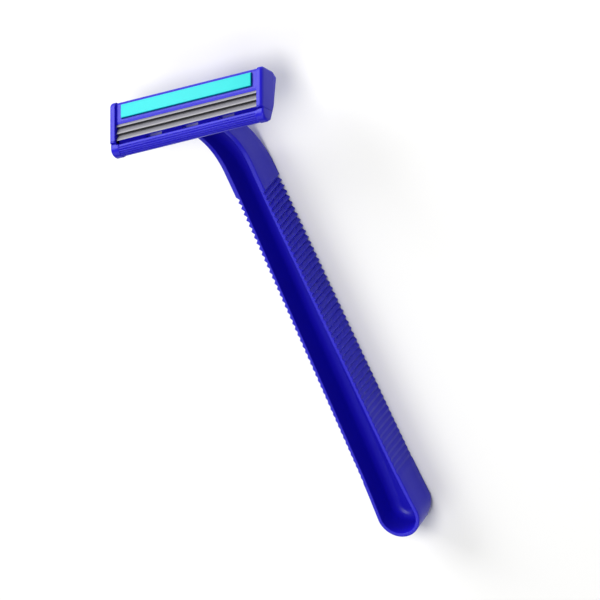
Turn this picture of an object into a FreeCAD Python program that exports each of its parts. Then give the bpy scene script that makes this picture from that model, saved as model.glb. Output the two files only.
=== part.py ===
import FreeCAD, Part
import math
import os
from FreeCAD import Placement, Rotation, Vector

# Shaving razor with a fixed three-blade head, lying on its back.
# X runs along the blades, +Y points from the handle's tail to the head, +Z is the side
# that the channel opens to. The origin is the middle of the footprint, on the spine.
# All sizes are in millimetres, all angles in degrees.

# Overall
handle_reach = 110.68     # handle's tail to the guard's foot, along the handle
guard_rise = 21.28        # guard's foot above the spine
face_angle = 45.7         # shaving face to the handle's axis

# Handle: a channel with two side walls and a floor
grip_depth = 8.7          # spine to rim
tail_width = 11.2
grip_end_width = 9.66     # where the grip ribs end
waist_width = 7.9         # narrowest place, where the neck begins
guard_width = 8.3         # neck's width below the guard
waist_to_guard = 20.63    # along the handle
tail_round = 5.3          # corner radius of the tail, seen from above
tail_rake = 0.4           # how much shorter the spine is than the rim
tail_heel = 3.2           # radius of the tail's lower corner, seen from the side
heel_gap = 0.3            # heel's side line outside the raked tail
waist_round = 60.0
grip_end_round = 80.0
side_wall = 1.0
channel_floor = 1.2
channel_round = 2.0       # radius along the bottom of the channel
spine_round = 0.4         # radius along the outside of the spine
neck_end_wall = 1.5       # solid web between the channel and the head

# Neck, seen from the side: rim and spine each bend once towards the head
rim_bend_to_guard = 9.03
rim_bend_radius = 17.9
rim_bend_angle = 32.8
spine_bend_to_guard = 10.63
spine_bend_radius = 24.5
spine_bend_angle = 40.0

# Grip ribs: V grooves side by side on both walls, fading out towards the tail
rib_pitch = 1.5
rib_depth = 0.7
rib_depth_at_tail = 0.25
smooth_tail = 14.6        # wall left without ribs at the tail

# Head: measured down the face from the top (v) and into the head from the cheeks' front (d)
head_length = 41.7
head_height = 12.85
cheek_width = 1.6
cheek_depth = 4.4         # cheeks' front to the joint with the base
cheek_height = 10.0
cheek_round = 1.2
cheek_foot_round = 0.3
cheek_gap = 0.1           # groove between a cheek and the guard's end
joint_step = 0.15         # the base stands in by this much at the top
foot_depth = 3.0          # guard's foot behind the cheeks' front
back_top = (1.2, 6.2)     # (v, d) of the back's three corners
back_middle = (8.5, 5.2)
back_foot = (12.25, 3.9)
back_round = 0.5

# Guard
guard_height = 2.4        # guard's upper edge to its foot
guard_recess = 0.5        # guard's crest behind the cheeks' front
guard_crest_round = 1.8
guard_edge_round = 0.3
rib_line_count = 6        # fine ridges along the guard
rib_line_pitch = 0.5
rib_line_groove = 0.13    # radius of the grooves between them
guard_end_block = 2.2     # smooth length at each end of the guard

# Trough between the guard and the blades, with its rinse windows
trough_depth = 1.9
trough_floor = 2.2
guard_lip = 0.2           # draft of the guard's inner face
window_count = 3
window_width = 4.47
window_pitch = 9.86
window_height = 1.0

# Blade stack
blade_angle = 25.0        # blades to the shaving face
blade_thickness = 0.1
spacer_thickness = 0.6
edge_recess = 0.5         # cutting edges behind the cheeks' front
edge_to_foot = 3.28       # lowest edge above the guard's foot, along the face
stack_depth = 8.3         # lowest edge to the stack's back
blade_overhang = 0.45     # blade in front of what it lies on
spacer_setback = 0.45     # spacer's front behind the edge of the blade above
blade_bevel = 0.35        # ground width at the edge
blade_end_gap = 0.1       # blade's end to the cheek
platform_thickness = 1.2
stack_back_gap = 0.05

# Staking posts of the cap, through the stack and the platform
post_from_socket = 3.6    # inner posts, from the socket's side
post_from_cheek = 3.65    # outer posts, from the cheek's inner face
post_diameter = 1.6
post_inset = 6.0          # lowest edge to the posts, along the blades
post_clearance = 0.05
stake_diameter = 2.6
stake_height = 0.5
stake_room = 0.6          # platform's back left flat round a stake

# Cap bar and its strip
cap_recess = 0.65         # cap's front behind the cheeks' front
cap_round = 1.0
cap_lip_round = 0.05
blade_show = 0.75         # upper blade left bare below the cap's lip
strip_to_lip = 1.21       # strip's lower edge to the cap's lip, along the face
strip_height = 3.2
strip_thickness = 0.5
strip_proud = 0.62
strip_gap = 0.15
strip_length = 35.4
strip_round = 0.3

# Tongue of the handle in the socket on the base's back
tongue_width = 5.4
tongue_thickness = 1.4
tongue_length = 2.0
tongue_clearance = 0.08
tongue_down_face = 5.67   # tongue's middle below the head's top
catch_height = 0.2
catch_length = 0.6
catch_width = 4.0
socket_back = 6.4         # socket's mouth behind the cheeks' front
socket_side_wall = 1.5
socket_face_wall = 1.4

# Modelling aids
cutter_reach = 1.0        # cutters stand out of what they cut by this much
height_match = 0.02       # edges this near to a height belong to it
tiny = 1e-6

# Worked out from the sizes above
face_cos = math.cos(math.radians(face_angle))
face_sin = math.sin(math.radians(face_angle))
corner_reach = (head_height - cheek_round) * face_cos - cheek_round * face_sin + cheek_round
head_reach = foot_depth * face_sin + corner_reach
overall_length = handle_reach + head_reach
tail_y = -overall_length / 2
guard_y = tail_y + handle_reach
waist_y = guard_y - waist_to_guard
grip_end_y = tail_y + smooth_tail
head_origin = Vector(0, guard_y + foot_depth * face_sin, guard_rise + foot_depth * face_cos)
head_placement = Placement(head_origin, Rotation(Vector(1, 0, 0), -face_angle))
inner_length = head_length - 2 * cheek_width
stack_cos = math.cos(math.radians(blade_angle))
stack_sin = math.sin(math.radians(blade_angle))
blade_step = blade_thickness + spacer_thickness
edge_shift = blade_step * stack_cos / stack_sin
stack_top = 2 * blade_step
upper_edge = 2 * edge_shift
far = 4 * overall_length
socket_height = tongue_thickness + 2 * (tongue_clearance + socket_face_wall)
socket_width = tongue_width + 2 * (tongue_clearance + socket_side_wall)


def rounded_edges(corners, place):
    """Closed chain of lines and arcs through corners (a, b, radius)."""
    starts = []
    arcs = []
    total = len(corners)
    for index in range(total):
        a, b, radius = corners[index]
        point = Vector(a, b, 0)
        before = Vector(corners[index - 1][0], corners[index - 1][1], 0)
        after = Vector(corners[(index + 1) % total][0], corners[(index + 1) % total][1], 0)
        if radius == 0:
            starts.append((point, point))
            arcs.append(None)
            continue
        to_before = (before - point).normalize()
        to_after = (after - point).normalize()
        half = to_before.getAngle(to_after) / 2
        middle = (to_before + to_after).normalize()
        reach = radius / math.tan(half)
        first = point + to_before * reach
        last = point + to_after * reach
        crown = point + middle * (radius / math.sin(half) - radius)
        starts.append((first, last))
        arcs.append(crown)
    edges = []
    for index in range(total):
        first, last = starts[index]
        if arcs[index] is not None:
            edges.append(Part.Arc(place(first), place(arcs[index]), place(last)).toShape())
        following = starts[(index + 1) % total][0]
        if (following - last).Length > tiny:
            edges.append(Part.LineSegment(place(last), place(following)).toShape())
    return edges


def prism(corners, place, along):
    """Solid of the rounded outline, pushed along a vector."""
    wire = Part.Wire(rounded_edges(corners, place))
    return Part.Face(wire).extrude(along)


def side_prism(corners):
    """Outline in (y, z), as wide as anything here."""
    return prism(corners, lambda p: Vector(-far / 2, p.x, p.y), Vector(far, 0, 0))


def plan_prism(corners, top, drop):
    """Outline in (x, y) given at the rim, from the height top down, raked like the tail."""
    rake = tail_rake / grip_depth
    shift = rake * (top - grip_depth)
    return prism(corners, lambda p: Vector(p.x, p.y - shift, top), Vector(0, rake * drop, -drop))


def head_prism(corners, x_from, x_to):
    """Outline in (v, d) of the head, from x_from to x_to."""
    return prism(corners, lambda p: Vector(x_from, head_height - p.x, -p.y),
                 Vector(x_to - x_from, 0, 0))


def head_box(v_from, v_to, d_from, d_to, width, x_middle=0.0):
    corner = Vector(x_middle - width / 2, head_height - v_to, -d_to)
    return Part.makeBox(width, v_to - v_from, d_to - d_from, corner)


def stack_point(t, h):
    """(v, d) of a point t behind the lowest edge and h above it, in the stack's tilt."""
    return (head_height - edge_to_foot - t * stack_cos - h * stack_sin,
            edge_recess + t * stack_sin - h * stack_cos)


def stack_plate(t_from, t_to, h_from, h_to, length, bevel=0.0):
    """Flat plate of the stack; a bevel makes its front edge sharp."""
    if bevel:
        profile = [(t_from, h_from), (t_from + bevel, h_to), (t_to, h_to), (t_to, h_from)]
    else:
        profile = [(t_from, h_from), (t_from, h_to), (t_to, h_to), (t_to, h_from)]
    corners = [stack_point(t, h) + (0,) for t, h in profile]
    return head_prism(corners, -length / 2, length / 2)


def post_places():
    right = [socket_width / 2 + post_from_socket, inner_length / 2 - post_from_cheek]
    return [-x for x in reversed(right)] + right


def post_cylinder(x, diameter, h_from, h_to):
    v, d = stack_point(post_inset, h_from)
    outward = Vector(0, stack_sin, stack_cos)
    return Part.makeCylinder(diameter / 2, h_to - h_from, Vector(x, head_height - v, -d), outward)


def drilled(plate):
    """The plate with a clearance hole for each post."""
    bore = post_diameter + 2 * post_clearance
    holes = [post_cylinder(x, bore, -stack_depth, stack_depth) for x in post_places()]
    return plate.cut(holes)


def in_place(shape):
    shape.Placement = head_placement.multiply(shape.Placement)
    return shape


def half_width(y, inset):
    """Half of the handle's width at y, inside a wall of the thickness inset."""
    stations = [(tail_y, tail_width), (grip_end_y, grip_end_width), (waist_y, waist_width),
                (guard_y, guard_width)]
    start = 0 if y < grip_end_y else 1 if y < waist_y else 2
    (y_from, w_from), (y_to, w_to) = stations[start:start + 2]
    share = (y - y_from) / (y_to - y_from)
    return (w_from + share * (w_to - w_from)) / 2 - inset


def handle_plan(inset):
    """Outline of the handle from above, drawn in by inset."""
    end = tail_y + inset
    beyond = guard_y + waist_to_guard
    right = [(half_width(end, inset), end, tail_round - inset),
             (half_width(grip_end_y, inset), grip_end_y, grip_end_round),
             (half_width(waist_y, inset), waist_y, waist_round),
             (half_width(beyond, inset), beyond, 0)]
    left = [(-x, y, radius) for x, y, radius in reversed(right)]
    return right + left


def bend(start_to_guard, angle, height, run):
    """Corner of a side line and a point run further on after the bend."""
    corner_y = guard_y - start_to_guard
    turn = math.radians(angle)
    return (corner_y, height), (corner_y + run * math.cos(turn), height + run * math.sin(turn))


def handle_side(floor):
    """Outline of the handle from the side, above a floor of the thickness floor."""
    run = waist_to_guard + grip_depth
    rim_corner, rim_end = bend(rim_bend_to_guard, rim_bend_angle, grip_depth, run)
    lift = floor * math.tan(math.radians(spine_bend_angle) / 2)
    spine_corner, spine_end = bend(spine_bend_to_guard + lift, spine_bend_angle, floor, run)
    heel_y = tail_y + tail_rake * (1 - floor / grip_depth) - heel_gap
    slope = tail_rake / grip_depth
    rim_y = heel_y - slope * (grip_depth - floor)
    return [(rim_y, grip_depth, 0), rim_corner + (rim_bend_radius,), rim_end + (0,),
            spine_end + (0,), spine_corner + (spine_bend_radius - floor,), (heel_y, floor, tail_heel)]


def channel_side():
    """Outline of the channel's space from the side, open above."""
    outline = handle_side(channel_floor)
    above = 4 * grip_depth
    behind = tail_y - grip_depth
    return [(behind, above, 0), (outline[2][0], above, 0)] + outline[3:5] + [(behind, channel_floor, 0)]


def grip_groove(y, depth, side):
    """One V groove across a side wall."""
    mouth = rib_pitch / 2
    bottom = half_width(y, depth)
    spread = mouth + cutter_reach
    outside = bottom + spread * depth / mouth
    corners = [(side * bottom, y, 0), (side * outside, y - spread, 0), (side * outside, y + spread, 0)]
    return prism(corners, lambda p: Vector(p.x, p.y, -cutter_reach),
                 Vector(0, 0, grip_depth + 2 * cutter_reach))


def groove_places():
    count = int((waist_y - grip_end_y) / rib_pitch + tiny)
    return [waist_y - (index + 0.5) * rib_pitch for index in range(count)]


def behind_plane(depth):
    """Everything further back than depth behind the cheeks' front."""
    block = Part.makeBox(far, far, far, Vector(-far / 2, -far / 2, -far - depth))
    return in_place(block)


def edges_at(shape, height_of):
    """Edges whose middle lies on the surface z = height_of(y)."""
    found = []
    for edge in shape.Edges:
        middle = edge.valueAt((edge.FirstParameter + edge.LastParameter) / 2)
        if abs(middle.z - height_of(middle.y)) < height_match and edge.Length > height_match:
            found.append(edge)
    return found


def spine_height(y, floor):
    """Height of the spine, or of the channel's floor, at y."""
    turn = math.radians(spine_bend_angle)
    radius = spine_bend_radius - floor
    begin = guard_y - spine_bend_to_guard - spine_bend_radius * math.tan(turn / 2)
    end = begin + radius * math.sin(turn)
    if y <= begin:
        return floor
    if y <= end:
        return floor + radius - math.sqrt(radius ** 2 - (y - begin) ** 2)
    return floor + radius * (1 - math.cos(turn)) + (y - end) * math.tan(turn)


def raked_body(side, inset):
    plan = plan_prism(handle_plan(inset), 4 * grip_depth, 6 * grip_depth)
    return side_prism(side).common(plan)


def tongue(clearance):
    """Tongue with its two catch ridges, grown by a clearance for the socket."""
    top = tongue_down_face - tongue_thickness / 2 - clearance
    foot = tongue_down_face + tongue_thickness / 2 + clearance
    tip = socket_back - tongue_length - clearance
    body = head_box(top, foot, tip, socket_back, tongue_width + 2 * clearance)
    middle = socket_back - tongue_length / 2
    spread = catch_length / 2 + clearance
    half = catch_width / 2 + clearance
    ridges = []
    for side, face in ((-1, top), (1, foot)):
        crest = face + side * catch_height
        corners = [(face, middle - spread, 0), (crest, middle, 0), (face, middle + spread, 0)]
        ridges.append(head_prism(corners, -half, half))
    return body.fuse(ridges).removeSplitter()


def make_handle():
    outer = raked_body(handle_side(0), 0).common(behind_plane(socket_back))
    outer = outer.makeFillet(spine_round, edges_at(outer, lambda y: spine_height(y, 0)))
    room = raked_body(channel_side(), side_wall).common(behind_plane(socket_back + neck_end_wall))
    bottom = edges_at(room, lambda y: spine_height(y, channel_floor))
    room = room.makeFillet(channel_round, bottom)
    places = groove_places()
    grooves = []
    for index, y in enumerate(places):
        fade = index / max(1, len(places) - 1)
        depth = rib_depth + fade * (rib_depth_at_tail - rib_depth)
        grooves.append(grip_groove(y, depth, 1))
        grooves.append(grip_groove(y, depth, -1))
    body = outer.cut(grooves).cut(room)
    return body.fuse(in_place(tongue(0))).removeSplitter()


def guard_corners():
    """Guard's front from its inner edge round to the foot, as (v, d, radius)."""
    crest = head_height - guard_height
    return [(crest - guard_lip, trough_depth, 0),
            (crest, guard_recess, guard_edge_round),
            (head_height, guard_recess, guard_crest_round),
            (head_height, foot_depth, 0),
            back_foot + (back_round,)]


def base_middle_corners():
    """Section of the base between the cheeks."""
    front = stack_point(blade_overhang, -blade_thickness)
    back = stack_point(stack_depth, -blade_thickness)
    under = -blade_thickness - platform_thickness
    floor_back = trough_depth + trough_floor
    slope_start = post_inset - stake_diameter / 2 - stake_room
    return guard_corners() + [
        (front[0] - guard_lip, floor_back, 0),
        stack_point(slope_start, under) + (0,),
        stack_point(stack_depth, under) + (0,),
        (back_top[0] + back_round, back_top[1] - back_round, 0),
        back_top + (back_round,),
        (joint_step, cheek_depth + 2 * joint_step, 0),
        (joint_step, cheek_depth, 0),
        (joint_seat(), cheek_depth, 0),
        back + (0,),
        front + (0,),
        (front[0] - guard_lip, trough_depth, 0)]


def joint_seat():
    """Where the stack's back plane meets the joint plane, as v."""
    t = stack_depth
    h = (edge_recess + t * stack_sin - cheek_depth) / stack_cos
    return stack_point(t, h)[0]


def base_end_corners():
    """Section of the base behind a cheek and below it."""
    return [(joint_step, cheek_depth, 0),
            (cheek_height + cheek_gap, cheek_depth, 0),
            (cheek_height + cheek_gap, guard_recess, guard_edge_round)] + guard_corners()[2:] + [
            back_middle + (0,),
            back_top + (back_round,),
            (joint_step, cheek_depth + 2 * joint_step, 0)]


def guard_line_grooves():
    """Grooves that leave fine ridges along the guard's rounded front."""
    radius = guard_crest_round
    middle = Vector(0, radius, -guard_recess - radius)
    length = head_length - 2 * guard_end_block
    step = rib_line_pitch / radius
    grooves = []
    for index in range(rib_line_count + 1):
        angle = math.pi / 4 + (index - rib_line_count / 2) * step
        place = middle + Vector(-length / 2, -radius * math.sin(angle), radius * math.cos(angle))
        grooves.append(Part.makeCylinder(rib_line_groove, length, place, Vector(1, 0, 0)))
    return grooves


def rinse_windows():
    top = head_height - guard_height - guard_lip - window_height
    back = trough_depth + trough_floor + cutter_reach
    holes = []
    for index in range(window_count):
        x = (index - (window_count - 1) / 2) * window_pitch
        holes.append(head_box(top, top + window_height, trough_depth - cutter_reach, back,
                              window_width, x))
    return holes


def platform_middle(v):
    """Depth of the platform's middle plane at v."""
    h = -blade_thickness - platform_thickness / 2
    t = (head_height - edge_to_foot - h * stack_sin - v) / stack_cos
    return stack_point(t, h)[1]


def socket_block():
    """Block on the base's back that takes the tongue."""
    top = tongue_down_face - socket_height / 2
    foot = top + socket_height
    corners = [(top, platform_middle(top), 0), (top, socket_back, 0),
               (foot, socket_back, 0), (foot, platform_middle(foot), 0)]
    return head_prism(corners, -socket_width / 2, socket_width / 2)


def make_base():
    inner = inner_length / 2
    outer = head_length / 2
    body = head_prism(base_middle_corners(), -inner, inner)
    ends = [head_prism(base_end_corners(), inner, outer), head_prism(base_end_corners(), -outer, -inner)]
    body = body.fuse(ends + [socket_block()])
    bores = [post_cylinder(x, post_diameter + 2 * post_clearance, -stack_depth, 0) for x in post_places()]
    pocket = tongue(tongue_clearance)
    body = body.cut(guard_line_grooves() + rinse_windows() + bores + [pocket])
    return body.removeSplitter()


def blade(index):
    edge = index * edge_shift
    foot = index * blade_step - blade_thickness
    length = inner_length - 2 * blade_end_gap
    return drilled(stack_plate(edge, stack_depth, foot, foot + blade_thickness, length, blade_bevel))


def spacer(index):
    front = (index + 1) * edge_shift + spacer_setback
    foot = index * blade_step
    length = inner_length - 2 * blade_end_gap
    return drilled(stack_plate(front, stack_depth, foot, foot + spacer_thickness, length))


def cap_lip():
    """(v, d) of the lip's inner edge, where the cap bar lies on the upper blade."""
    return stack_point(upper_edge + blade_show, stack_top)


def cap_corners():
    """Section of the cap bar between the cheeks."""
    lip_inner = cap_lip()
    inner_back = stack_point(stack_depth + stack_back_gap, stack_top)
    seat = (joint_seat() - stack_back_gap / stack_cos, cheek_depth)
    return [(0, cap_recess, cap_round), (lip_inner[0], cap_recess, cap_lip_round), lip_inner + (0,),
            inner_back + (0,), seat + (0,), (0, cheek_depth, 0)]


def cheek_corners():
    return [(0, 0, cheek_round), (cheek_height, 0, cheek_foot_round),
            (cheek_height, cheek_depth, 0), (0, cheek_depth, 0)]


def strip_box(gap, d_from):
    """The strip's block, or its recess when grown by a gap, with rounded corners."""
    half = strip_length / 2 + gap
    middle = head_height - cap_lip()[0] + strip_to_lip + strip_height / 2
    rise = strip_height / 2 + gap
    corners = [(half, middle + rise, strip_round), (-half, middle + rise, strip_round),
               (-half, middle - rise, strip_round), (half, middle - rise, strip_round)]
    floor = cap_recess + strip_thickness
    return prism(corners, lambda p: Vector(p.x, p.y, -floor), Vector(0, 0, floor - d_from))


def make_cap_frame():
    inner = inner_length / 2
    outer = head_length / 2
    body = head_prism(cap_corners(), -inner, inner)
    cheeks = [head_prism(cheek_corners(), inner, outer), head_prism(cheek_corners(), -outer, -inner)]
    posts = []
    under = -blade_thickness - platform_thickness
    for x in post_places():
        posts.append(post_cylinder(x, post_diameter, under - stake_height, stack_top + stack_back_gap))
        posts.append(post_cylinder(x, stake_diameter, under - stake_height, under))
    body = body.fuse(cheeks + posts).removeSplitter()
    return body.cut(strip_box(strip_gap, -cutter_reach))


def make_strip():
    return strip_box(0, cap_recess - strip_proud)


parts = {
    "handle": make_handle(),
    "blade_unit_base": in_place(make_base()),
    "lower_blade": in_place(blade(0)),
    "lower_spacer": in_place(spacer(0)),
    "middle_blade": in_place(blade(1)),
    "upper_spacer": in_place(spacer(1)),
    "upper_blade": in_place(blade(2)),
    "cap_frame": in_place(make_cap_frame()),
    "lubricating_strip": in_place(make_strip()),
}

os.makedirs("parts", exist_ok=True)
for name, shape in parts.items():
    shape.exportStep("parts/" + name + ".step")
    print(name, shape.isValid(), len(shape.Solids), round(shape.Volume, 2), shape.BoundBox)
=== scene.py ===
import math
import bmesh
import bpy
from mathutils import Matrix, Vector


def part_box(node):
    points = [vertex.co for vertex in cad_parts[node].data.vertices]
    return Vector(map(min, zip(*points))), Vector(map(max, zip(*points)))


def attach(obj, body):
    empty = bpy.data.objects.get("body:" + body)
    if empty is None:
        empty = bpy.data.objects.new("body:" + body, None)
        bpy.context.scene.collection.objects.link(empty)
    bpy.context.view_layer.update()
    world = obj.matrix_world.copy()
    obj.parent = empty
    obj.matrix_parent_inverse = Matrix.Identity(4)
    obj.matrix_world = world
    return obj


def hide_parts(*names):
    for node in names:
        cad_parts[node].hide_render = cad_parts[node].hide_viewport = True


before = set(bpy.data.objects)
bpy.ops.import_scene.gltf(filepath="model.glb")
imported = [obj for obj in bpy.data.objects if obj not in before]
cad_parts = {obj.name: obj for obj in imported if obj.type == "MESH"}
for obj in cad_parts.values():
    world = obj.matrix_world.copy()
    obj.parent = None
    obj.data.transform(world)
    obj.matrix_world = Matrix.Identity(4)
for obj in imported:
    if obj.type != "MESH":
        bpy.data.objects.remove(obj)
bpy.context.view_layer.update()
mm = 0.001
scene = bpy.context.scene


# turns an sRGB hex colour into linear RGBA
def linear(hexColour):
    channels = [int(hexColour[i:i + 2], 16) / 255 for i in (1, 3, 5)]
    return [c / 12.92 if c <= 0.04045 else ((c + 0.055) / 1.055) ** 2.4 for c in channels] + [1.0]


# one node with its settings; an input is a plain value or the socket that feeds it
def addNode(tree, kind, settings=None, inputs=None):
    node = tree.nodes.new(kind)
    for key, value in (settings or {}).items():
        setattr(node, key, value)
    for key, value in (inputs or {}).items():
        if isinstance(value, bpy.types.NodeSocket):
            tree.links.new(value, node.inputs[key])
        else:
            node.inputs[key].default_value = value
    return node


def newMaterial(name):
    material = bpy.data.materials.new(name)
    material.use_nodes = True
    tree = material.node_tree
    tree.nodes.clear()
    shader = addNode(tree, "ShaderNodeBsdfPrincipled")
    addNode(tree, "ShaderNodeOutputMaterial", None, {"Surface": shader.outputs[0]})
    return material, tree, shader


# a mesh object at the origin, its faces turned outwards and smoothed up to an angle
def objectFrom(name, bm, smoothAngle=32):
    bmesh.ops.recalc_face_normals(bm, faces=bm.faces)
    mesh = bpy.data.meshes.new(name)
    bm.to_mesh(mesh)
    bm.free()
    piece = bpy.data.objects.new(name, mesh)
    scene.collection.objects.link(piece)
    smoothBelow(piece, smoothAngle)
    return piece


def smoothBelow(piece, angle):
    mesh = piece.data
    mesh.shade_smooth()
    mesh.set_sharp_from_angle(angle=math.radians(angle))


# replaces the object's mesh by what its modifiers make of it
def plainMesh(piece):
    graph = bpy.context.evaluated_depsgraph_get()
    made = bpy.data.meshes.new_from_object(piece.evaluated_get(graph))
    piece.modifiers.clear()
    piece.data = made


# points of a closed outline of (a, b, radius) corners
def roundedOutline(corners, stepAngle=11.0):
    points = []
    for index, (a, b, radius) in enumerate(corners):
        corner = Vector((a, b))
        if not radius:
            points.append(corner)
            continue
        toBefore = (Vector(corners[index - 1][:2]) - corner).normalized()
        toAfter = (Vector(corners[(index + 1) % len(corners)][:2]) - corner).normalized()
        half = toBefore.angle(toAfter) / 2
        centre = corner + (toBefore + toAfter).normalized() * (radius / math.sin(half))
        start = corner + toBefore * (radius / math.tan(half)) - centre
        end = corner + toAfter * (radius / math.tan(half)) - centre
        turn = math.atan2(start.x * end.y - start.y * end.x, start.dot(end))
        steps = max(2, math.ceil(math.degrees(abs(turn)) / stepAngle))
        for step in range(steps + 1):
            points.append(centre + Matrix.Rotation(turn * step / steps, 2) @ start)
    return points


# the corners of an outline whose edges all lie further in by a distance
def drawnIn(corners, distance):
    total = len(corners)
    area = sum(corners[i - 1][0] * corners[i][1] - corners[i][0] * corners[i - 1][1]
               for i in range(total))
    turn = 1 if area > 0 else -1
    moved = []
    for index, (a, b, radius) in enumerate(corners):
        point = Vector((a, b))
        before = (point - Vector(corners[index - 1][:2])).normalized()
        after = (Vector(corners[(index + 1) % total][:2]) - point).normalized()
        first = Vector((-before.y, before.x)) * turn
        second = Vector((-after.y, after.x)) * turn
        shifted = point + (first + second) * (distance / (1 + first.dot(second)))
        bulges = (before.x * after.y - before.y * after.x) * turn > 0
        smaller = max(0.06, radius - distance) if bulges else radius + distance
        moved.append((shifted.x, shifted.y, smaller if radius else 0))
    return moved


# closed bar of one outline between two ends, with rounded end edges
def addPrism(bm, corners, place, ends, edges=(0.1, 0.1), rings=3):
    sections = []
    for end, edge, inwards in ((ends[0], edges[0], 1), (ends[1], edges[1], -1)):
        turns = [math.pi / 2 * (1 - ring / rings) for ring in range(rings + 1)] if edge else [0]
        rounding = [(end + inwards * edge * (1 - math.sin(turn)), edge * (1 - math.cos(turn)))
                    for turn in turns]
        sections += rounding if inwards > 0 else rounding[::-1]
    loops = []
    for along, inset in sections:
        outline = roundedOutline(drawnIn(corners, inset) if inset else corners)
        loops.append([bm.verts.new(place(p.x, p.y, along)) for p in outline])
    total = len(loops[0])
    for first, second in zip(loops, loops[1:]):
        for i in range(total):
            j = (i + 1) % total
            bm.faces.new((first[i], first[j], second[j], second[i]))
    bm.faces.new(loops[0])
    bm.faces.new(loops[-1])


def prismObject(name, corners, place, ends, edges=(0.1, 0.1), rings=3):
    bm = bmesh.new()
    addPrism(bm, corners, place, ends, edges, rings)
    return objectFrom(name, bm)


# joins the helpers to the body, or cuts them out of it, one after the other
def combined(body, helpers, operation):
    for helper in helpers:
        modifier = body.modifiers.new(operation, "BOOLEAN")
        modifier.operation = operation
        modifier.solver = "EXACT"
        modifier.object = helper
        plainMesh(body)
        bpy.data.objects.remove(helper)
    return body


def carved(body, cutters):
    return combined(body, cutters, "DIFFERENCE")


# one skin round all the shells
def united(name, shells, smoothAngle=32):
    body = combined(shells[0], shells[1:], "UNION")
    body.name = name
    smoothBelow(body, smoothAngle)
    return body


# brings a piece from millimetres to metres and hands it over in place of its CAD node
def finishPiece(piece, slotName, node, *materials):
    piece.data.transform(Matrix.Scale(mm, 4))
    piece.data.materials.clear()
    for material in materials:
        piece.data.materials.append(material)
    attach(piece, "root")
    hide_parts(node)


# metres; the frame's width is measured at the aim
cameraSetup = {"towards": (0.5132, 0.3013, 0.8036), "up": (0.2033, 0.867, -0.455),
               "aim": (0.00052, 0.0017, 0.00899), "distance": 5.5, "frameWidth": 0.13656}


def makeCamera(setup):
    back = Vector(setup["towards"]).normalized()
    right = Vector(setup["up"]).cross(back).normalized()
    up = back.cross(right)
    data = bpy.data.cameras.new("razorCamera")
    data.sensor_width = 36.0
    data.lens = data.sensor_width * setup["distance"] / setup["frameWidth"]
    data.clip_start = 0.01
    camera = bpy.data.objects.new("razorCamera", data)
    camera.matrix_world = Matrix.Translation(Vector(setup["aim"]) + back * setup["distance"]) @ \
        Matrix((right, up, back)).transposed().to_4x4()
    scene.collection.objects.link(camera)
    scene.camera = camera


# square area light that looks at the razor from one side
def addSoftbox(name, towards, distance, size, power, colour):
    data = bpy.data.lights.new(name, "AREA")
    data.shape = "SQUARE"
    data.size = size
    data.energy = power
    data.color = linear(colour)[:3]
    lamp = bpy.data.objects.new(name, data)
    side = Vector(towards).normalized()
    lamp.location = Vector(studio["aim"]) + side * distance
    lamp.rotation_euler = side.to_track_quat("Z", "Y").to_euler()
    scene.collection.objects.link(lamp)


# towards the lamp, its distance and size in metres, its power and its colour
softboxes = {"keySoftbox": ((0.12, 0.30, 0.94), 1.0, 0.5, 6.0, "#FFFDF8"),
             "frontSoftbox": ((-0.5, 0.8, 0.32), 1.0, 0.62, 8.6, "#FFFFFF"),
             "topSoftbox": ((-0.51, -0.3, 0.8), 1.0, 0.7, 3.0, "#F6F8FF")}


studio = {"aim": (0, 0.02, 0.01), "sky": "#F2F4F7", "skyStrength": 0.28,
          "floor": "#F4F4F3", "floorRough": 0.9, "floorHalf": 3.0}


def makeStudio():
    world = bpy.data.worlds.new("studio")
    world.use_nodes = True
    sky = world.node_tree.nodes["Background"]
    sky.inputs["Color"].default_value = linear(studio["sky"])
    sky.inputs["Strength"].default_value = studio["skyStrength"]
    scene.world = world
    for name, (towards, distance, size, power, colour) in softboxes.items():
        addSoftbox(name, towards, distance, size, power, colour)
    scene.view_settings.view_transform = "Standard"
    bm = bmesh.new()
    bmesh.ops.create_grid(bm, x_segments=1, y_segments=1, size=studio["floorHalf"])
    floor = objectFrom("floor", bm)
    material, tree, shader = newMaterial("paleFloor")
    shader.inputs["Base Color"].default_value = linear(studio["floor"])
    shader.inputs["Roughness"].default_value = studio["floorRough"]
    floor.data.materials.append(material)


makeCamera(cameraSetup)
makeStudio()
print("camera and studio ready")


# sizes of the pigment's clouds and of the grain in millimetres
plastic = {"colour": "#1E16C2", "deep": "#1810AE", "grain": 0.12, "flow": 18.0}


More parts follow.
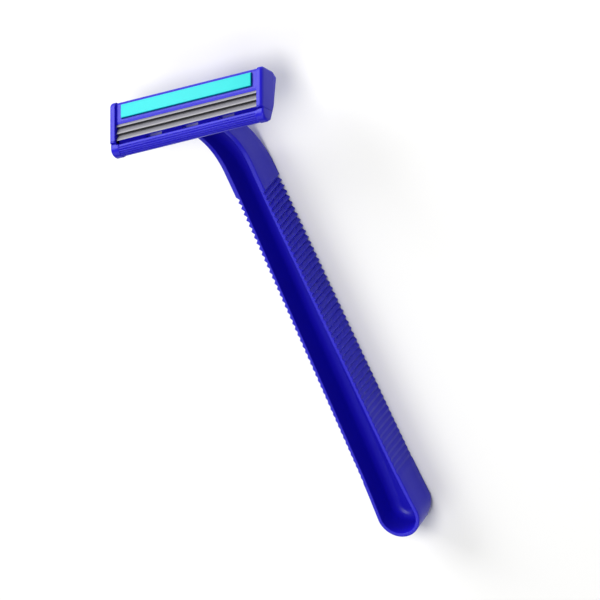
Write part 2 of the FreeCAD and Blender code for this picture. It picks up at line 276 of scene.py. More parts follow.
# Injection-moulded ABS in a violet blue: the polished mould gives a soft clear gloss, a faint
# orange-peel ripple and slight flow clouds in the pigment.
def mouldedBluePlastic(sizes):
    material, tree, shader = newMaterial("mouldedBlueAbs")
    where = addNode(tree, "ShaderNodeTexCoord").outputs["Object"]
    flow = addNode(tree, "ShaderNodeTexNoise", None,
                   {"Vector": where, "Scale": 1 / (sizes["flow"] * mm), "Detail": 3.0})
    blend = addNode(tree, "ShaderNodeMix", {"data_type": "RGBA"},
                    {"Factor": flow.outputs[0], 6: linear(sizes["deep"]), 7: linear(sizes["colour"])})
    tree.links.new(blend.outputs[2], shader.inputs["Base Color"])
    ripple = addNode(tree, "ShaderNodeTexNoise", None,
                     {"Vector": where, "Scale": 1 / (1.6 * mm), "Detail": 2.0})
    grain = addNode(tree, "ShaderNodeTexNoise", None,
                    {"Vector": where, "Scale": 1 / (sizes["grain"] * mm), "Detail": 2.0})
    rough = addNode(tree, "ShaderNodeMapRange", None,
                    {"Value": ripple.outputs[0], "To Min": 0.26, "To Max": 0.36})
    tree.links.new(rough.outputs[0], shader.inputs["Roughness"])
    soft = addNode(tree, "ShaderNodeBump", None,
                   {"Height": ripple.outputs[0], "Strength": 0.25, "Distance": 0.02 * mm})
    fine = addNode(tree, "ShaderNodeBump", None,
                   {"Height": grain.outputs[0], "Strength": 0.3, "Distance": 0.004 * mm,
                    "Normal": soft.outputs[0]})
    tree.links.new(fine.outputs[0], shader.inputs["Normal"])
    shader.inputs["IOR"].default_value = 1.54
    shader.inputs["Specular IOR Level"].default_value = 0.2
    shader.inputs["Subsurface Weight"].default_value = 0.05
    shader.inputs["Subsurface Radius"].default_value = (0.3, 0.3, 1.0)
    shader.inputs["Subsurface Scale"].default_value = 0.6 * mm
    return material


# Cold-rolled hardened stainless strip: fine straight lines along the blade stretch the reflections
# across it. The ground facet has coarser lines; its lighter colour is its finish plus a painted
# highlight.
def rolledBladeSteel(name, colour, roughLow, roughHigh, lineWidth):
    material, tree, shader = newMaterial(name)
    where = addNode(tree, "ShaderNodeTexCoord").outputs["Object"]
    along, across = 1 / (18 * mm), 1 / (lineWidth * mm)
    stretch = addNode(tree, "ShaderNodeMapping", None,
                      {"Vector": where, "Scale": (along, across, across)})
    lines = addNode(tree, "ShaderNodeTexNoise", None,
                    {"Vector": stretch.outputs[0], "Scale": 1.0, "Detail": 4.0, "Roughness": 0.6})
    rough = addNode(tree, "ShaderNodeMapRange", None,
                    {"Value": lines.outputs[0], "From Min": 0.3, "From Max": 0.7,
                     "To Min": roughLow, "To Max": roughHigh})
    tree.links.new(rough.outputs[0], shader.inputs["Roughness"])
    relief = addNode(tree, "ShaderNodeBump", None,
                     {"Height": lines.outputs[0], "Strength": 0.35, "Distance": 0.003 * mm})
    tree.links.new(relief.outputs[0], shader.inputs["Normal"])
    shader.inputs["Base Color"].default_value = linear(colour)
    shader.inputs["Metallic"].default_value = 1.0
    return material


# Extruded strip of polystyrene filled with water-soluble polymer: a waxy satin face with faint
# drawn lines along it. Its sides get a darker, bluer copy of it, which is painted shade.
def lubricatingPolymer(name, light, deep):
    material, tree, shader = newMaterial(name)
    where = addNode(tree, "ShaderNodeTexCoord").outputs["Object"]
    along, across = 1 / (14 * mm), 1 / (0.25 * mm)
    stretch = addNode(tree, "ShaderNodeMapping", None,
                      {"Vector": where, "Scale": (along, across, across)})
    lines = addNode(tree, "ShaderNodeTexNoise", None,
                    {"Vector": stretch.outputs[0], "Scale": 1.0, "Detail": 3.0})
    cloud = addNode(tree, "ShaderNodeTexNoise", None,
                    {"Vector": where, "Scale": 1 / (9 * mm), "Detail": 2.0})
    blend = addNode(tree, "ShaderNodeMix", {"data_type": "RGBA"},
                    {"Factor": cloud.outputs[0], 6: linear(deep), 7: linear(light)})
    tree.links.new(blend.outputs[2], shader.inputs["Base Color"])
    relief = addNode(tree, "ShaderNodeBump", None,
                     {"Height": lines.outputs[0], "Strength": 0.3, "Distance": 0.008 * mm})
    tree.links.new(relief.outputs[0], shader.inputs["Normal"])
    shader.inputs["Roughness"].default_value = 0.42
    shader.inputs["IOR"].default_value = 1.5
    shader.inputs["Specular IOR Level"].default_value = 0.25
    shader.inputs["Subsurface Weight"].default_value = 0.1
    shader.inputs["Subsurface Radius"].default_value = (0.5, 1.0, 1.0)
    shader.inputs["Subsurface Scale"].default_value = 0.4 * mm
    return material


# Moulded black polystyrene: thin flat plates with a matt eroded surface, which the cavity keeps
# almost without light. Their near-black colour is also painted shade for that cavity.
def darkSpacerAndCavityShade():
    material, tree, shader = newMaterial("darkSpacerAndCavityShade")
    where = addNode(tree, "ShaderNodeTexCoord").outputs["Object"]
    grain = addNode(tree, "ShaderNodeTexNoise", None, {"Vector": where, "Scale": 1 / (0.1 * mm)})
    relief = addNode(tree, "ShaderNodeBump", None,
                     {"Height": grain.outputs[0], "Strength": 0.3, "Distance": 0.005 * mm})
    tree.links.new(relief.outputs[0], shader.inputs["Normal"])
    # near black: the spacers' dark plastic, and also painted shade between the blades
    shader.inputs["Base Color"].default_value = linear("#17171A")
    shader.inputs["Roughness"].default_value = 0.6
    shader.inputs["IOR"].default_value = 1.59
    return material


bluePlastic = mouldedBluePlastic(plastic)
bladeSteel = rolledBladeSteel("rolledBladeSteel", "#86858C", 0.46, 0.56, 0.03)
# the ground facet: lighter steel, partly its own finish and partly a painted highlight on the lit edge
groundFinishAndHighlight = rolledBladeSteel("groundEdgeFinishAndHighlight", "#929196", 0.4, 0.5, 0.015)
stripPolymer = lubricatingPolymer("turquoisePolymer", "#06C6C4", "#04BCC0")
# the strip's sides: the same polymer in a darker blue teal, painted shade on its walls
stripShadedSide = lubricatingPolymer("turquoisePolymerPaintedShadeSide", "#0A6C98", "#08608E")
spacerDarkAndShade = darkSpacerAndCavityShade()
print("materials ready")


# millimetres and degrees; the ribs run from the waist towards the tail
handle = {"tailHalf": 5.6, "gripEndHalf": 4.83, "waistHalf": 3.95, "guardHalf": 4.15,
          "gripEnd": 14.6, "waistToGuard": 20.63, "knotSoft": 5.0, "depth": 8.7, "rake": 0.4,
          "rimBend": 9.03, "rimRadius": 17.9, "rimAngle": 32.8,
          "spineBend": 10.63, "spineRadius": 24.5, "spineAngle": 40.0,
          "wallAtWaist": 1.18, "wallAtTail": 0.9, "floor": 1.2, "floorRound": 2.1,
          "spineRound": 0.3, "heelRound": 3.2, "rimOuterRound": 0.22, "rimInnerRound": 0.12,
          "headGap": 6.4, "fanGap": 0.6, "openFrom": 0.928, "reach": 110.68}
ribs = {"pitch": 1.5, "depth": 0.72, "tailDepth": 0.25, "flat": 0.04, "count": 50}
head = {"length": 41.7, "height": 12.85, "faceAngle": 45.7, "footDepth": 3.0, "guardRise": 21.28,
        "cheekWidth": 1.6, "cheekDepth": 4.4, "cheekHeight": 10.0, "cheekRound": 1.2, "cheekGap": 0.1}

handleLow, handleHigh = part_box("handle")
capLow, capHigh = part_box("cap_frame")
tailY = handleLow[1] / mm
guardY = tailY + handle["reach"]
waistY = guardY - handle["waistToGuard"]
gripEndY = tailY + handle["gripEnd"]

faceTurn = math.radians(head["faceAngle"])
upFace = Vector((0, math.cos(faceTurn), -math.sin(faceTurn)))
outOfFace = Vector((0, math.sin(faceTurn), math.cos(faceTurn)))
topReach = (head["height"] - head["cheekRound"]) * math.cos(faceTurn) \
    + head["cheekRound"] * (1 - math.sin(faceTurn))
faceFoot = Vector((0, capHigh[1] / mm - topReach,
                   handleLow[2] / mm + head["guardRise"] + head["footDepth"] * math.cos(faceTurn)))


# point of the head: v down from its top, d behind the cheeks' front, x along the blades
def atHead(v, d, x):
    return faceFoot + Vector((x, 0, 0)) + upFace * (head["height"] - v) - outOfFace * d


# 0 before a knot and u after it, with a smooth turn
def softKink(u, soft):
    if u <= -soft:
        return 0.0
    return u if u >= soft else (u + soft) ** 2 / (4 * soft)


def halfWidthAt(y):
    knots = [(tailY, handle["tailHalf"]), (gripEndY, handle["gripEndHalf"]),
             (waistY, handle["waistHalf"]), (guardY, handle["guardHalf"])]
    slopes = [(b[1] - a[1]) / (b[0] - a[0]) for a, b in zip(knots, knots[1:])]
    width = knots[0][1] + slopes[0] * (y - tailY)
    for (knot, half), before, after in zip(knots[1:], slopes, slopes[1:]):
        width += (after - before) * softKink(y - knot, handle["knotSoft"])
    return width


# (y, z) on a straight line that bends upwards once; along is measured on the path
def bentLine(start, height, radius, angle, along):
    turn = math.radians(angle)
    straight = start - radius * math.tan(turn / 2)
    if along <= straight:
        return along, height
    bent = min(along - straight, radius * turn)
    y = straight + radius * math.sin(bent / radius)
    z = height + radius * (1 - math.cos(bent / radius))
    rest = along - straight - bent
    return y + rest * math.cos(turn), z + rest * math.sin(turn)


def rimAt(along):
    return bentLine(guardY - handle["rimBend"], handle["depth"], handle["rimRadius"],
                    handle["rimAngle"], along)


def spineAt(along):
    return bentLine(guardY - handle["spineBend"], 0.0, handle["spineRadius"],
                    handle["spineAngle"], along)


# how far along a line it meets the plane at a depth behind the cheeks' front
def reachPlane(line, depth):
    low, high = waistY, guardY + handle["waistToGuard"]
    for step in range(50):
        middle = (low + high) / 2
        y, z = line(middle)
        out = (Vector((0, y, z)) - faceFoot).dot(outOfFace)
        low, high = (middle, high) if out < -depth else (low, middle)
    return low


# slices of the handle from the head's end to the middle of the tail: each is (direction, outer
# radius, spine point, rim point, rake share, solid or open)
def handleStations():
    stations = []
    rimEnd = reachPlane(rimAt, handle["headGap"])
    spineEnd = reachPlane(spineAt, handle["headGap"])
    fanStart = waistY + handle["fanGap"]
    openFrom = handle["openFrom"]  # the neck is solid nearer to the head than this share of it
    neckSteps = 34
    shares = [1.0, 0.97, 0.935] + [openFrom * (1 - step / neckSteps) for step in range(neckSteps + 1)]
    for share in shares:
        rim = rimAt(fanStart + share * (rimEnd - fanStart))
        spine = spineAt(fanStart + share * (spineEnd - fanStart))
        width = halfWidthAt((rim[0] + spine[0]) / 2)
        stations.append(((1, 0), width, spine, rim, 0.0, share > openFrom))
    knot = 0.5 * ribs["flat"] / (1 + 2 * ribs["flat"])
    for rib in range(ribs["count"]):
        for share in (knot, 0.5 - knot, 0.5 + knot, 1 - knot):
            y = waistY - (rib + share) * ribs["pitch"]
            stations.append(((1, 0), halfWidthAt(y), (y, 0.0), (y, handle["depth"]), 0.0, False))
    roundY = tailY + halfWidthAt(tailY + handle["tailHalf"])
    lastRib = waistY - ribs["count"] * ribs["pitch"]
    smoothSteps = 12
    for step in range(1, smoothSteps + 1):
        share = step / smoothSteps
        y = lastRib + share * (roundY - lastRib)
        stations.append(((1, 0), halfWidthAt(y), (y, 0.0), (y, handle["depth"]), share, False))
    radius = halfWidthAt(roundY)
    tailSteps = 14
    for step in range(1, tailSteps + 1):
        turn = math.pi / 2 * step / tailSteps
        stations.append(((math.cos(turn), -math.sin(turn)), radius, (roundY, 0.0),
                         (roundY, handle["depth"]), 1.0, False))
    return stations


def arcSteps(count):
    return [math.pi / 2 * step / count for step in range(1, count + 1)]


# (inset from the outside, height above the spine) from the spine's middle round to the middle of
# the channel's floor
def sectionRows(radius, depth, wall, tailShare, solid):
    heel = handle["spineRound"] + tailShare * (handle["heelRound"] - handle["spineRound"])
    outer = handle["rimOuterRound"]
    inner = handle["rimInnerRound"]
    floor = handle["floor"]
    bottom = min(handle["floorRound"], 0.72 * (depth - floor))
    rows = [(radius, 0.0), (radius * 0.66, 0.0), (radius * 0.33 + heel * 0.5, 0.0), (heel, 0.0)]
    rows += [(heel * (1 - math.sin(a)), heel * (1 - math.cos(a))) for a in arcSteps(4)]
    rise = depth - outer - heel
    rows += [(0.0, heel + rise * share) for share in (0.25, 0.5, 0.75, 1.0)]
    rows += [(outer * (1 - math.cos(a)), depth - outer * (1 - math.sin(a))) for a in arcSteps(4)]
    rows += [(wall - inner, depth)]
    outerRows = len(rows)
    rows += [(wall - inner * (1 - math.sin(a)), depth - inner * (1 - math.cos(a))) for a in arcSteps(3)]
    drop = depth - inner - (floor + bottom)
    rows += [(wall, depth - inner - drop * share) for share in (0.35, 0.7, 1.0)]
    rows += [(wall + bottom * (1 - math.cos(a)), floor + bottom * (1 - math.sin(a)))
             for a in arcSteps(8)]
    rows += [(wall + bottom + (radius - wall - bottom) * 0.5, floor), (radius, floor)]
    if solid:
        rows = [row if index < outerRows else (row[0], depth) for index, row in enumerate(rows)]
    return rows


# both halves of the handle as one grid of stations and rows
def addHandleSkin(bm, widthLayer):
    stations = handleStations()
    span = waistY - tailY
    sides = []
    for side in (1, -1):
        grid = []
        for (dx, dy), radius, spine, rim, rake, solid in stations:
            low = Vector((0, spine[0] + rake * handle["rake"], spine[1]))
            high = Vector((0, rim[0], rim[1]))
            depth = (high - low).length if not rake else handle["depth"]
            tailShare = 0.12 * rake - 0.88 * dy
            along = min(1.0, max(0.0, (waistY - rim[0]) / span))
            wall = handle["wallAtWaist"] + along * (handle["wallAtTail"] - handle["wallAtWaist"])
            line = []
            for inset, height in sectionRows(radius, depth, wall, tailShare, solid):
                point = low + (high - low) * (height / depth)
                point += Vector((side * dx, dy, 0)) * (radius - inset)
                vertex = bm.verts.new(point)
                vertex[widthLayer] = radius
                line.append(vertex)
            grid.append(line)
        sides.append(grid)
    for grid in sides:
        for first, second in zip(grid, grid[1:]):
            for i in range(len(first) - 1):
                bm.faces.new((first[i], first[i + 1], second[i + 1], second[i]))
    bmesh.ops.remove_doubles(bm, verts=bm.verts, dist=0.0005)
    rimEdges = [edge for edge in bm.edges if edge.is_boundary]
    bmesh.ops.edgeloop_fill(bm, edges=rimEdges)


# geometry nodes that cut V grooves across both walls by drawing the sides in
def gripRibTree():
    tree = bpy.data.node_groups.new("gripRibs", "GeometryNodeTree")
    tree.interface.new_socket("Geometry", in_out="INPUT", socket_type="NodeSocketGeometry")
    for name in ("Pitch", "Depth", "Tail Depth", "Start", "End", "Flat"):
        tree.interface.new_socket(name, in_out="INPUT", socket_type="NodeSocketFloat")
    tree.interface.new_socket("Material", in_out="INPUT", socket_type="NodeSocketMaterial")
    tree.interface.new_socket("Geometry", in_out="OUTPUT", socket_type="NodeSocketGeometry")
    given = tree.nodes.new("NodeGroupInput").outputs

    def maths(operation, *values):
        inputs = dict(enumerate(values))
        return addNode(tree, "ShaderNodeMath", {"operation": operation}, inputs).outputs[0]

    place = addNode(tree, "ShaderNodeSeparateXYZ", None,
                    {0: addNode(tree, "GeometryNodeInputPosition").outputs[0]}).outputs
    half = addNode(tree, "GeometryNodeInputNamedAttribute", {"data_type": "FLOAT"},
                   {"Name": "halfWidth"}).outputs[0]
    fromStart = maths("SUBTRACT", given["Start"], place["Y"])
    share = maths("FRACT", maths("DIVIDE", fromStart, given["Pitch"]))
    fromMiddle = maths("ABSOLUTE", maths("SUBTRACT", share, 0.5))
    fold = maths("SUBTRACT", 1.0, maths("MULTIPLY", 2.0, fromMiddle))
    swing = maths("ADD", 1.0, maths("MULTIPLY", 2.0, given["Flat"]))
    wave = addNode(tree, "ShaderNodeClamp", None,
                   {0: maths("SUBTRACT", maths("MULTIPLY", fold, swing), given["Flat"])}).outputs[0]
    progress = maths("DIVIDE", fromStart, maths("SUBTRACT", given["Start"], given["End"]))
    inside = maths("MULTIPLY", maths("GREATER_THAN", progress, 0.0), maths("LESS_THAN", progress, 1.0))
    fall = maths("MULTIPLY", progress, maths("SUBTRACT", given["Tail Depth"], given["Depth"]))
    deep = maths("MULTIPLY", maths("ADD", given["Depth"], fall), maths("MULTIPLY", wave, inside))
    limit = maths("SUBTRACT", half, deep)
    kept = maths("MINIMUM", maths("ABSOLUTE", place["X"]), limit)
    drawn = maths("MULTIPLY", maths("SIGN", place["X"]), kept)
    target = addNode(tree, "ShaderNodeCombineXYZ", None, {"X": drawn, "Y": place["Y"], "Z": place["Z"]})
    moved = addNode(tree, "GeometryNodeSetPosition", None,
                    {"Geometry": given["Geometry"], "Position": target.outputs[0]})
    real = addNode(tree, "GeometryNodeRealizeInstances", None, {0: moved.outputs[0]})
    coated = addNode(tree, "GeometryNodeSetMaterial", None,
                     {"Geometry": real.outputs[0], "Material": given["Material"]})
    addNode(tree, "NodeGroupOutput", None, {0: coated.outputs[0]})
    return tree


# adds a node tree to a piece, sets its inputs by name and turns the result into a mesh
def runNodes(piece, tree, values):
    modifier = piece.modifiers.new(tree.name, "NODES")
    modifier.node_group = tree
    for item in tree.interface.items_tree:
        if item.item_type == "SOCKET" and item.in_out == "INPUT" and item.name in values:
            modifier[item.identifier] = values[item.name]
    plainMesh(piece)


tongue = {"top": 4.97, "foot": 6.37, "front": 4.4, "root": 6.9, "half": 2.7, "round": 0.15}


# tongue on the end of the neck, reaching into the head's socket
def tongueShell():
    edge = tongue["round"]
    corners = [(tongue["top"], tongue["front"], edge), (tongue["foot"], tongue["front"], edge),
               (tongue["foot"], tongue["root"], 0), (tongue["top"], tongue["root"], 0)]
    return prismObject("tongue", corners, atHead, (-tongue["half"], tongue["half"]), (edge, edge))


def makeHandle():
    bm = bmesh.new()
    widthLayer = bm.verts.layers.float.new("halfWidth")
    addHandleSkin(bm, widthLayer)
    piece = objectFrom("ribbedHandle", bm, 28)
    runNodes(piece, gripRibTree(), {
        "Pitch": ribs["pitch"], "Depth": ribs["depth"], "Tail Depth": ribs["tailDepth"],
        "Start": waistY, "End": waistY - ribs["count"] * ribs["pitch"],
        "Flat": ribs["flat"], "Material": bluePlastic})
    piece = united("ribbedHandle", [piece, tongueShell()], 28)
    finishPiece(piece, "blue_plastic", "handle", bluePlastic)


makeHandle()
print("handle ready")


# the blades lean back by the stack's angle
stack = {"angle": 25.0, "edgeToFoot": 3.28, "edgeRecess": 0.5, "blade": 0.1, "spacer": 0.6,
         "depth": 8.3, "bevel": 0.38, "endGap": 0.1, "postInset": 6.0, "postWidth": 1.6,
         "postGap": 0.05, "posts": (7.88, 15.6), "platform": 1.2, "overhang": 0.45,
         "tipShare": 0.25, "underBevel": 0.12, "endRound": 0.02}
stackTurn = math.radians(stack["angle"])
innerLength = head["length"] - 2 * head["cheekWidth"]
bladeStep = stack["blade"] + stack["spacer"]
edgeShift = bladeStep / math.tan(stackTurn)


# (v, d) of a point t behind the lowest edge and h above it
def inStack(t, h):
    return (head["height"] - stack["edgeToFoot"] - t * math.cos(stackTurn) - h * math.sin(stackTurn),
            stack["edgeRecess"] + t * math.sin(stackTurn) - h * math.cos(stackTurn))


def postPlaces():
    return [side * x for x in stack["posts"] for side in (-1, 1)]


# round bar square to the blades, from height low to high in the stack
def roundBar(name, x, radius, low, high, edges):
    corners = [(math.cos(turn) * radius, math.sin(turn) * radius, 0)
               for turn in (2 * math.pi * step / 28 for step in range(28))]

    def place(a, b, along):
        v, d = inStack(stack["postInset"] + a, along)
        return atHead(v, d, x + b)

    return prismObject(name, corners, place, (low, high), edges)


def makeBlade(name, index):
    edge = index * edgeShift
    foot = index * bladeStep - stack["blade"]
    top = foot + stack["blade"]
    tip = foot + stack["tipShare"] * stack["blade"]
    outline = [(edge, tip), (edge + stack["bevel"], top), (stack["depth"], top),
               (stack["depth"], foot), (edge + stack["underBevel"], foot)]
    half = innerLength / 2 - stack["endGap"]
    corners = [inStack(t, h) + (0,) for t, h in outline]
    ends = (stack["endRound"], stack["endRound"])
    piece = prismObject(name + "Blank", corners, atHead, (-half, half), ends, 1)
    bore = stack["postWidth"] / 2 + stack["postGap"]
    cutters = [roundBar("bore", x, bore, foot - 1, top + 1, (0.0, 0.0)) for x in postPlaces()]
    piece = united(name, [carved(piece, cutters)], 20)
    finishPiece(piece, "blade_steel", name, bladeSteel, groundFinishAndHighlight)
    outward = (atHead(*inStack(0, 1), 0) - atHead(*inStack(0, 0), 0)).normalized()
    # the ground facet takes the lighter steel, partly a painted highlight on the lit edge
    for face in piece.data.polygons:
        if 0.8 < face.normal.dot(outward) < 0.995:  # the ground facet leans a little off the flat top
            face.material_index = 1


for bladeIndex, bladeName in enumerate(("lower_blade", "middle_blade", "upper_blade")):
    makeBlade(bladeName, bladeIndex)
# the spacers take the near-black material, partly painted shade for the cavity between the blades
for spacerName in ("lower_spacer", "upper_spacer"):
    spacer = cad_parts[spacerName]
    spacer.data.materials.clear()
    spacer.data.materials.append(spacerDarkAndShade)
print("blade stack ready")


# a pair is how far down from the head's top and how far behind the cheeks' front
base = {"backTop": (1.2, 6.2), "backMiddle": (8.5, 5.2), "backFoot": (12.25, 3.9), "backRound": 0.5,
        "jointStep": 0.15, "guardHeight": 2.4, "guardRecess": 0.5, "guardRound": 1.8,
        "guardLip": 0.2, "troughDepth": 1.9, "troughFloor": 2.2, "windowWidth": 4.47,
        "windowPitch": 9.86, "windowHeight": 1.0, "socketBack": 6.4, "socketMiddle": 5.67,
        "socketHigh": 4.36, "socketWide": 8.56, "spare": 0.8, "hairline": 0.03,
        "windowDepths": (1.3, 6.0), "windowRound": 0.15, "socketFront": 2.95, "socketRound": 0.25,
        "crestRound": 0.3, "cornerRound": 0.3, "smallRound": 0.1, "middleRound": 1.0,
        "bedStart": 4.1, "bedSeam": 0.02, "endSeam": 0.05, "endRoundings": (0.02, 0.5)}
pocket = {"downs": (4.89, 6.45), "depths": (4.32, 7.0), "half": 2.78, "round": 0.1}
notch = {"half": 0.45, "upperMouth": 0.65, "lowerMouth": 0.05, "deep": 0.35}
ridges = {"count": 6, "pitch": 0.53, "radius": 0.16, "sunk": 0.22, "endBlock": 2.2}


def guardOutline(sunk=0.0):
    crest = head["height"] - base["guardHeight"]
    front = base["guardRecess"] + sunk
    return [(crest - base["guardLip"], base["troughDepth"], 0),
            (crest, front, base["crestRound"]),
            (head["height"] - sunk, front, base["guardRound"] - sunk),
            (head["height"] - sunk, head["footDepth"], base["smallRound"]),
            base["backFoot"] + (base["backRound"],)]


# how far down the line of the blades' back ends crosses the plane at the cheeks' depth
def jointSeat():
    behind = stack["edgeRecess"] + stack["depth"] * math.sin(stackTurn) - head["cheekDepth"]
    return inStack(stack["depth"], behind / math.cos(stackTurn))[0]


def baseMiddle(sunk=0.0):
    front = inStack(stack["overhang"], -stack["blade"])
    under = -stack["blade"] - stack["platform"]
    floorBack = base["troughDepth"] + base["troughFloor"]
    top = base["backTop"]
    return guardOutline(sunk) + [
        (front[0] - base["guardLip"], floorBack, 0),
        inStack(base["bedStart"], under) + (0,),
        inStack(stack["depth"], under) + (base["cornerRound"],),
        (top[0] + base["backRound"], top[1] - base["backRound"], 0),
        top + (base["cornerRound"],),
        (base["jointStep"], head["cheekDepth"] + 2 * base["jointStep"], 0),
        (base["jointStep"], head["cheekDepth"], 0),
        (jointSeat(), head["cheekDepth"], 0),
        inStack(stack["depth"], -stack["blade"]) + (0,),
        front + (0,),
        (front[0] - base["guardLip"], base["troughDepth"], base["smallRound"])]


def baseEnd():
    low = head["cheekHeight"] - base["spare"]
    front = head["cheekDepth"] - base["spare"]
    return [(base["jointStep"], front, 0), (low, front, 0), (low, base["guardRecess"], 0)] + \
        guardOutline()[2:] + [
            base["backMiddle"] + (base["middleRound"],), base["backTop"] + (base["backRound"],),
            (base["jointStep"], head["cheekDepth"] + 2 * base["jointStep"], 0)]


# geometry nodes that lay round ridges side by side over the guard's curve
def ridgeTree():
    tree = bpy.data.node_groups.new("guardRidges", "GeometryNodeTree")
    for name in ("Length", "Radius", "Curve Radius", "Pitch Angle"):
        tree.interface.new_socket(name, in_out="INPUT", socket_type="NodeSocketFloat")
    tree.interface.new_socket("Count", in_out="INPUT", socket_type="NodeSocketInt")
    tree.interface.new_socket("Material", in_out="INPUT", socket_type="NodeSocketMaterial")
    tree.interface.new_socket("Geometry", in_out="OUTPUT", socket_type="NodeSocketGeometry")
    given = tree.nodes.new("NodeGroupInput").outputs

    def maths(operation, *values):
        inputs = dict(enumerate(values))
        return addNode(tree, "ShaderNodeMath", {"operation": operation}, inputs).outputs[0]

    spots = addNode(tree, "GeometryNodePoints", None, {"Count": given["Count"]})
    index = addNode(tree, "GeometryNodeInputIndex").outputs[0]
    middle = maths("DIVIDE", maths("SUBTRACT", given["Count"], 1.0), 2.0)
    turn = maths("MULTIPLY", maths("SUBTRACT", index, middle), given["Pitch Angle"])
    centreRadius = maths("SUBTRACT", given["Curve Radius"], given["Radius"])
    place = addNode(tree, "ShaderNodeCombineXYZ", None, {
        "Y": maths("MULTIPLY", maths("SINE", turn), centreRadius),
        "Z": maths("MULTIPLY", maths("COSINE", turn), centreRadius)})
    laid = addNode(tree, "GeometryNodeSetPosition", None,
                   {"Geometry": spots.outputs[0], "Position": place.outputs[0]})
    halfLength = maths("DIVIDE", given["Length"], 2.0)
    minusHalf = maths("MULTIPLY", halfLength, -1.0)
    start = addNode(tree, "ShaderNodeCombineXYZ", None, {"X": minusHalf})
    end = addNode(tree, "ShaderNodeCombineXYZ", None, {"X": halfLength})
    line = addNode(tree, "GeometryNodeCurvePrimitiveLine", None,
                   {"Start": start.outputs[0], "End": end.outputs[0]})
    circle = addNode(tree, "GeometryNodeCurvePrimitiveCircle", None,
                     {"Resolution": 14, "Radius": given["Radius"]})
    bar = addNode(tree, "GeometryNodeCurveToMesh", None,
                  {"Curve": line.outputs[0], "Profile Curve": circle.outputs[0], "Fill Caps": True})
    copies = addNode(tree, "GeometryNodeInstanceOnPoints", None,
                     {"Points": laid.outputs[0], "Instance": bar.outputs[0]})
    real = addNode(tree, "GeometryNodeRealizeInstances", None, {0: copies.outputs[0]})
    coated = addNode(tree, "GeometryNodeSetMaterial", None,
                     {"Geometry": real.outputs[0], "Material": given["Material"]})
    addNode(tree, "NodeGroupOutput", None, {0: coated.outputs[0]})
    return tree


# ridges made round the origin, then carried to the guard's curve
def guardRidges():
    piece = objectFrom("ridges", bmesh.new())
    radius = base["guardRound"]
    runNodes(piece, ridgeTree(), {
        "Length": head["length"] - 2 * ridges["endBlock"], "Radius": ridges["radius"],
        "Curve Radius": radius, "Pitch Angle": ridges["pitch"] / radius,
        "Count": ridges["count"], "Material": bluePlastic})
    centre = atHead(head["height"] - radius, base["guardRecess"] + radius, 0)
    lean = math.radians(45)
    outward = outOfFace * math.cos(lean) - upFace * math.sin(lean)
    across = Vector((1, 0, 0)).cross(outward).normalized() * -1
    turnTo = Matrix((Vector((1, 0, 0)), across, outward)).transposed().to_4x4()
    piece.data.transform(Matrix.Translation(centre) @ turnTo)
    return piece


# rounded box between pairs of v, d and x
def headBox(name, v, d, x, edge):
    corners = [(v[0], d[0], edge), (v[1], d[0], edge), (v[1], d[1], edge), (v[0], d[1], edge)]
    return prismObject(name, corners, atHead, x, (edge, edge))


# V along the groove between a cheek and the guard's end
def grooveNotch(reach):
    middle = head["cheekHeight"] + head["cheekGap"] / 2
    front = base["guardRecess"]
    corners = [(middle - notch["half"], front - notch["upperMouth"], 0),
               (middle + notch["half"], front - notch["lowerMouth"], 0),
               (middle, front + notch["deep"], 0)]
    return prismObject("notch", corners, atHead, reach, (0, 0), 1)


def makeBase():
    inner = innerLength / 2
    outer = head["length"] / 2
    bed = outer - ridges["endBlock"]
    cutters = []
    windowTop = head["height"] - base["guardHeight"] - base["guardLip"] - base["windowHeight"]
    for place in (-1, 0, 1):
        x = place * base["windowPitch"]
        cutters.append(headBox(
            "window", (windowTop, windowTop + base["windowHeight"]), base["windowDepths"],
            (x - base["windowWidth"] / 2, x + base["windowWidth"] / 2), base["windowRound"]))
    bore = stack["postWidth"] / 2 + stack["postGap"]
    cutters += [roundBar("bore", x, bore, -2 * stack["platform"], 1.0, (0, 0)) for x in postPlaces()]
    bedReach = bed + base["bedSeam"]
    middle = prismObject("unitBase", baseMiddle(ridges["sunk"]), atHead, (-bedReach, bedReach), (0, 0))
    seam = base["endSeam"]
    shells = [carved(middle, cutters),
              prismObject("rightBlock", baseMiddle(), atHead, (bed, inner + seam), (seam, 0)),
              prismObject("leftBlock", baseMiddle(), atHead, (-inner - seam, -bed), (0, seam))]
    joint = head["cheekDepth"] + base["hairline"]
    for side in (-1, 1):
        reach = sorted((side * (inner + base["hairline"]), side * (outer + 1)))
        room = headBox("cheekRoom", (-1, head["cheekHeight"] + head["cheekGap"]), (-1, joint), reach, 0)
        roundings = base["endRoundings"][::side]
        ends = sorted((side * inner, side * outer))
        end = prismObject("end", baseEnd(), atHead, ends, roundings, 6)
        shells.append(carved(end, [room, grooveNotch(reach)]))
    half = base["socketWide"] / 2
    high = base["socketHigh"] / 2
    socket = headBox("socket", (base["socketMiddle"] - high, base["socketMiddle"] + high),
                     (base["socketFront"], base["socketBack"]), (-half, half), base["socketRound"])
    hollow = headBox("pocket", pocket["downs"], pocket["depths"],
                     (-pocket["half"], pocket["half"]), pocket["round"])
    shells.append(carved(socket, [hollow]))
    shells.append(guardRidges())
    finishPiece(united("unitBase", shells), "blue_plastic", "blade_unit_base", bluePlastic)


makeBase()
print("base ready")


# bladeShow is how far behind the upper blade's edge the cap's lip stands
cap = {"recess": 0.65, "round": 1.0, "lipSlope": 0.6, "lipEdge": 0.03, "lipRound": 0.1,
       "bladeShow": 0.75, "backGap": 0.05, "seam": 0.05, "cheekRoundings": (0.16, 0.75),
       "stakeWidth": 2.6, "stakeHigh": 0.5, "stakeRoundings": (0.3, 0.05),
       "postBelow": 0.2, "postAbove": 0.1}
strip = {"inset": 1.1676, "height": 3.2, "thick": 0.5, "proud": 0.6, "gap": 0.15,
         "length": 35.4, "crown": 0.05, "crownRadius": 20.0, "edgeRound": 0.13, "endRound": 0.16,
         "recessRound": 0.12}


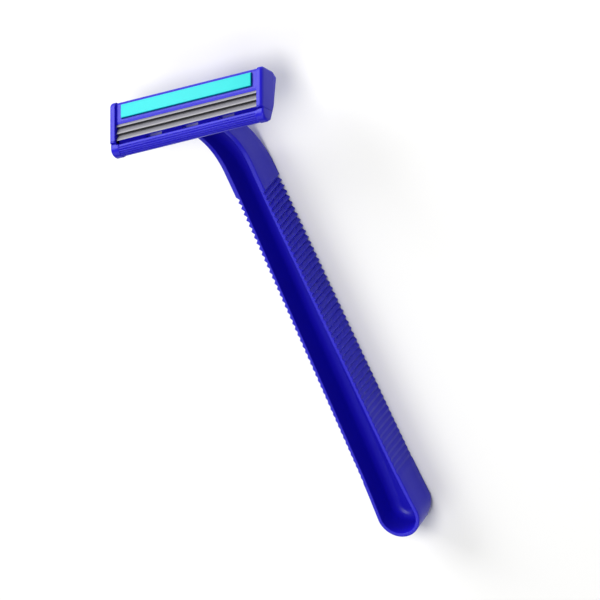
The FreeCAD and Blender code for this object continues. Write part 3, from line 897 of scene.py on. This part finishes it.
def capSection():
    top = 2 * bladeStep
    lip = inStack(2 * edgeShift + cap["bladeShow"], top)
    back = inStack(stack["depth"] + cap["backGap"], top)
    seat = (jointSeat() - cap["backGap"] / math.cos(stackTurn), head["cheekDepth"])
    return [(0, cap["recess"], cap["round"]),
            (lip[0] - cap["lipSlope"], cap["recess"], cap["lipRound"]),
            (lip[0], lip[1] - cap["lipEdge"], 0), lip + (0,), back + (0,), seat + (0,),
            (0, head["cheekDepth"], 0)]


def cheekSection():
    deep = head["cheekDepth"] + base["spare"]
    low = head["cheekHeight"] + base["spare"]
    return [(0, 0, head["cheekRound"]), (low, 0, 0), (low, deep, 0), (0, deep, 0)]


def makeCapFrame():
    inner = innerLength / 2
    outer = head["length"] / 2
    under = -stack["blade"] - stack["platform"]
    half = strip["length"] / 2 + strip["gap"]
    top = strip["inset"] - strip["gap"]
    recess = headBox("recess", (top, top + strip["height"] + 2 * strip["gap"]),
                     (-0.5, cap["recess"] + strip["thick"]), (-half, half), strip["recessRound"])
    barReach = inner + cap["seam"]
    bar = prismObject("capFrame", capSection(), atHead, (-barReach, barReach), (0, 0))
    shells = [carved(bar, [recess])]
    for side in (-1, 1):
        reach = (-outer - 1, outer + 1)
        below = headBox("below", (head["cheekHeight"], head["height"]), (-1, head["height"]), reach, 0)
        behind = headBox("behind", (-1, head["height"] + 1), (head["cheekDepth"], head["height"]),
                         reach, 0)
        roundings = cap["cheekRoundings"][::side]
        ends = sorted((side * inner, side * outer))
        cheek = prismObject("cheek", cheekSection(), atHead, ends, roundings, 7)
        shells.append(carved(cheek, [below, behind, grooveNotch(reach)]))
    for x in postPlaces():
        shells.append(roundBar("post", x, stack["postWidth"] / 2, under - cap["postBelow"],
                               2 * bladeStep + cap["postAbove"], (0, 0)))
        shells.append(roundBar("stake", x, cap["stakeWidth"] / 2, under - cap["stakeHigh"], under,
                               cap["stakeRoundings"]))
    finishPiece(united("capFrame", shells), "blue_plastic", "cap_frame", bluePlastic)


def makeStrip():
    floor = cap["recess"] + strip["thick"]
    face = cap["recess"] - strip["proud"]
    top, foot = strip["inset"], strip["inset"] + strip["height"]
    corners = [(top, floor, 0), (foot, floor, 0),
               (foot, face + strip["crown"], strip["edgeRound"]),
               ((top + foot) / 2, face, strip["crownRadius"]),
               (top, face + strip["crown"], strip["edgeRound"])]
    half = strip["length"] / 2
    ends = (strip["endRound"], strip["endRound"])
    piece = prismObject("lubricatingStrip", corners, atHead, (-half, half), ends)
    finishPiece(piece, "lubricating_polymer", "lubricating_strip", stripPolymer, stripShadedSide)
    # the walls take the darker copy, painted shade on the strip's sides
    for face in piece.data.polygons:
        if face.normal.dot(outOfFace) < 0.35:  # all but the crowned face
            face.material_index = 1


makeCapFrame()
makeStrip()
print("cap frame and strip ready")
